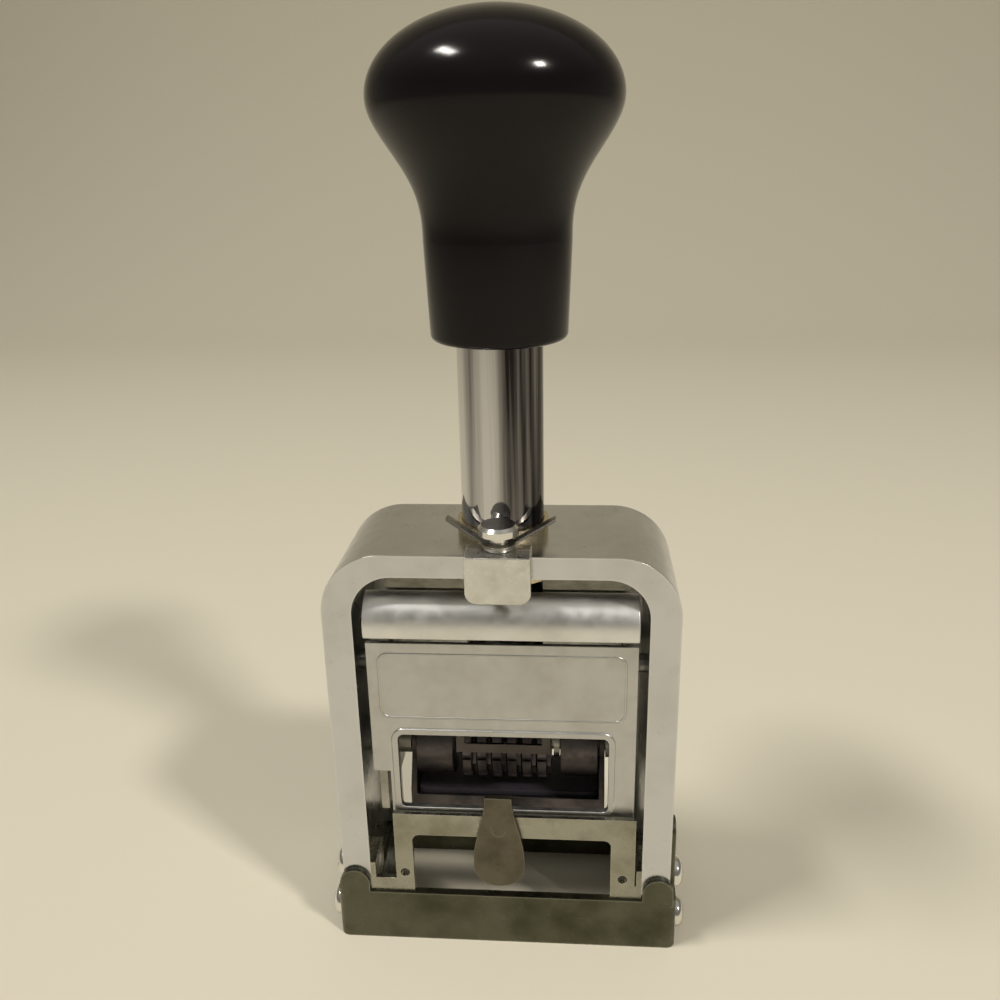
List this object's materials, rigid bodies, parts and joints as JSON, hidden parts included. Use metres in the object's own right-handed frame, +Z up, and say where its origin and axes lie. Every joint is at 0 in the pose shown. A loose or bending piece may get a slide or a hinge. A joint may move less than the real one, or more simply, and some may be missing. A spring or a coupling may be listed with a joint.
{
  "type": "numbering machine",
  "caption": "Hand numbering machine: bridge frame on an open foot, sprung plunger with a black knob, and a carriage of number wheels that goes down to the paper.",
  "frame": {"origin": "middle of the foot's underside, on the paper", "axes": "+Z up along the plunger, -Y towards the face plate, +X to the right seen from the front"},
  "size_m": [0.062, 0.0364, 0.1491],
  "materials": {
    "nickel": "polished nickel plate with light wear",
    "foot_nickel": "dulled nickel plate",
    "chrome": "bright plate",
    "steel": "plain steel",
    "black_knob": "polished black",
    "black_steel": "blackened steel",
    "type_metal": "inked steel",
    "felt": "inked felt",
    "spring_steel": "spring steel",
    "brass": "plain brass"
  },
  "bodies": {
    "base": {"frame_yoke": "nickel", "foot": "foot_nickel", "front_gate": "nickel", "catch_pin": "steel", "side_screws": "chrome", "foot_leaf": "foot_nickel", "guide_rails": "steel", "stem_bush": "brass", "spring_bar": "steel", "plunger_spring": "spring_steel", "latch_screw": "chrome", "latch_spring": "spring_steel"},
    "carriage": {"knob": "black_knob", "stem_tube": "chrome", "stem_plug": "steel", "crosshead_front": "steel", "crosshead_rear": "steel", "side_plate_left": "steel", "side_plate_right": "steel", "rolled_cover": "nickel", "face_plate": "nickel", "guard_bar": "chrome", "rear_plate": "nickel", "rear_screws": "chrome", "detent_comb": "spring_steel", "selector_dial": "nickel", "selector_screw": "chrome", "wheel_axle": "steel", "axle_collars": "steel", "blank_drums": "black_steel"},
    "latch": {"latch_plate": "nickel"},
    "catch": {"gate_catch": "foot_nickel"},
    "selector": {"selector_lever": "chrome"},
    "feed_yoke": {"pawl_yoke": "steel", "pawl_pin": "steel"},
    "pawl": {"feed_pawl": "spring_steel"},
    "pad": {"pad_tray": "black_steel", "ink_pad": "felt"},
    "number_wheel_1_body": {"number_wheel_1": "type_metal"},
    "number_wheel_2_body": {"number_wheel_2": "type_metal"},
    "number_wheel_3_body": {"number_wheel_3": "type_metal"},
    "number_wheel_4_body": {"number_wheel_4": "type_metal"},
    "number_wheel_5_body": {"number_wheel_5": "type_metal"},
    "number_wheel_6_body": {"number_wheel_6": "type_metal"}
  },
  "joints": [
    {"name": "plunger", "type": "slide", "parent": "base", "child": "carriage", "axis": [0, 0, -1], "range_m": [0, 0.0245], "stiffness_N_per_m": 120, "springref_m": -0.012, "deforming": ["plunger_spring"]},
    {"name": "pad_swing", "type": "hinge", "parent": "carriage", "child": "pad", "pos_m": [0, 0.0032, 0.0315], "axis": [-1, 0, 0], "range_deg": [0, 100]},
    {"name": "yoke_swing", "type": "hinge", "parent": "carriage", "child": "feed_yoke", "pos_m": [0, 0.0032, 0.0315], "axis": [1, 0, 0], "range_deg": [0, 36]},
    {"name": "pawl_lift", "type": "hinge", "parent": "feed_yoke", "child": "pawl", "pos_m": [0, 0.00604, 0.04025], "axis": [-1, 0, 0], "range_deg": [0, 8], "stiffness_Nm_per_rad": 0.002, "springref_deg": -0.57},
    {"name": "latch_slide", "type": "slide", "parent": "base", "child": "latch", "axis": [0, 1, 0], "range_m": [0, 0.0012]},
    {"name": "catch_turn", "type": "hinge", "parent": "base", "child": "catch", "pos_m": [-0.0008, -0.0125, 0.0236], "axis": [0, 1, 0], "range_deg": [-25, 25]},
    {"name": "selector_turn", "type": "hinge", "parent": "carriage", "child": "selector", "pos_m": [0, 0.0129, 0.05], "axis": [0, 1, 0], "range_deg": [-75, 75]},
    {"name": "number_wheel_1_spin", "type": "hinge", "parent": "carriage", "child": "number_wheel_1_body", "pos_m": [0, 0.0032, 0.0315], "axis": [1, 0, 0], "continuous": true},
    {"name": "number_wheel_2_spin", "type": "hinge", "parent": "carriage", "child": "number_wheel_2_body", "pos_m": [0, 0.0032, 0.0315], "axis": [1, 0, 0], "continuous": true},
    {"name": "number_wheel_3_spin", "type": "hinge", "parent": "carriage", "child": "number_wheel_3_body", "pos_m": [0, 0.0032, 0.0315], "axis": [1, 0, 0], "continuous": true},
    {"name": "number_wheel_4_spin", "type": "hinge", "parent": "carriage", "child": "number_wheel_4_body", "pos_m": [0, 0.0032, 0.0315], "axis": [1, 0, 0], "continuous": true},
    {"name": "number_wheel_5_spin", "type": "hinge", "parent": "carriage", "child": "number_wheel_5_body", "pos_m": [0, 0.0032, 0.0315], "axis": [1, 0, 0], "continuous": true},
    {"name": "number_wheel_6_spin", "type": "hinge", "parent": "carriage", "child": "number_wheel_6_body", "pos_m": [0, 0.0032, 0.0315], "axis": [1, 0, 0], "continuous": true}
  ],
  "couplings": [
    {"joint": "pad_swing", "follows": "plunger", "rad_per_m": 71.231},
    {"joint": "yoke_swing", "follows": "plunger", "rad_per_m": 25.643}
  ]
}
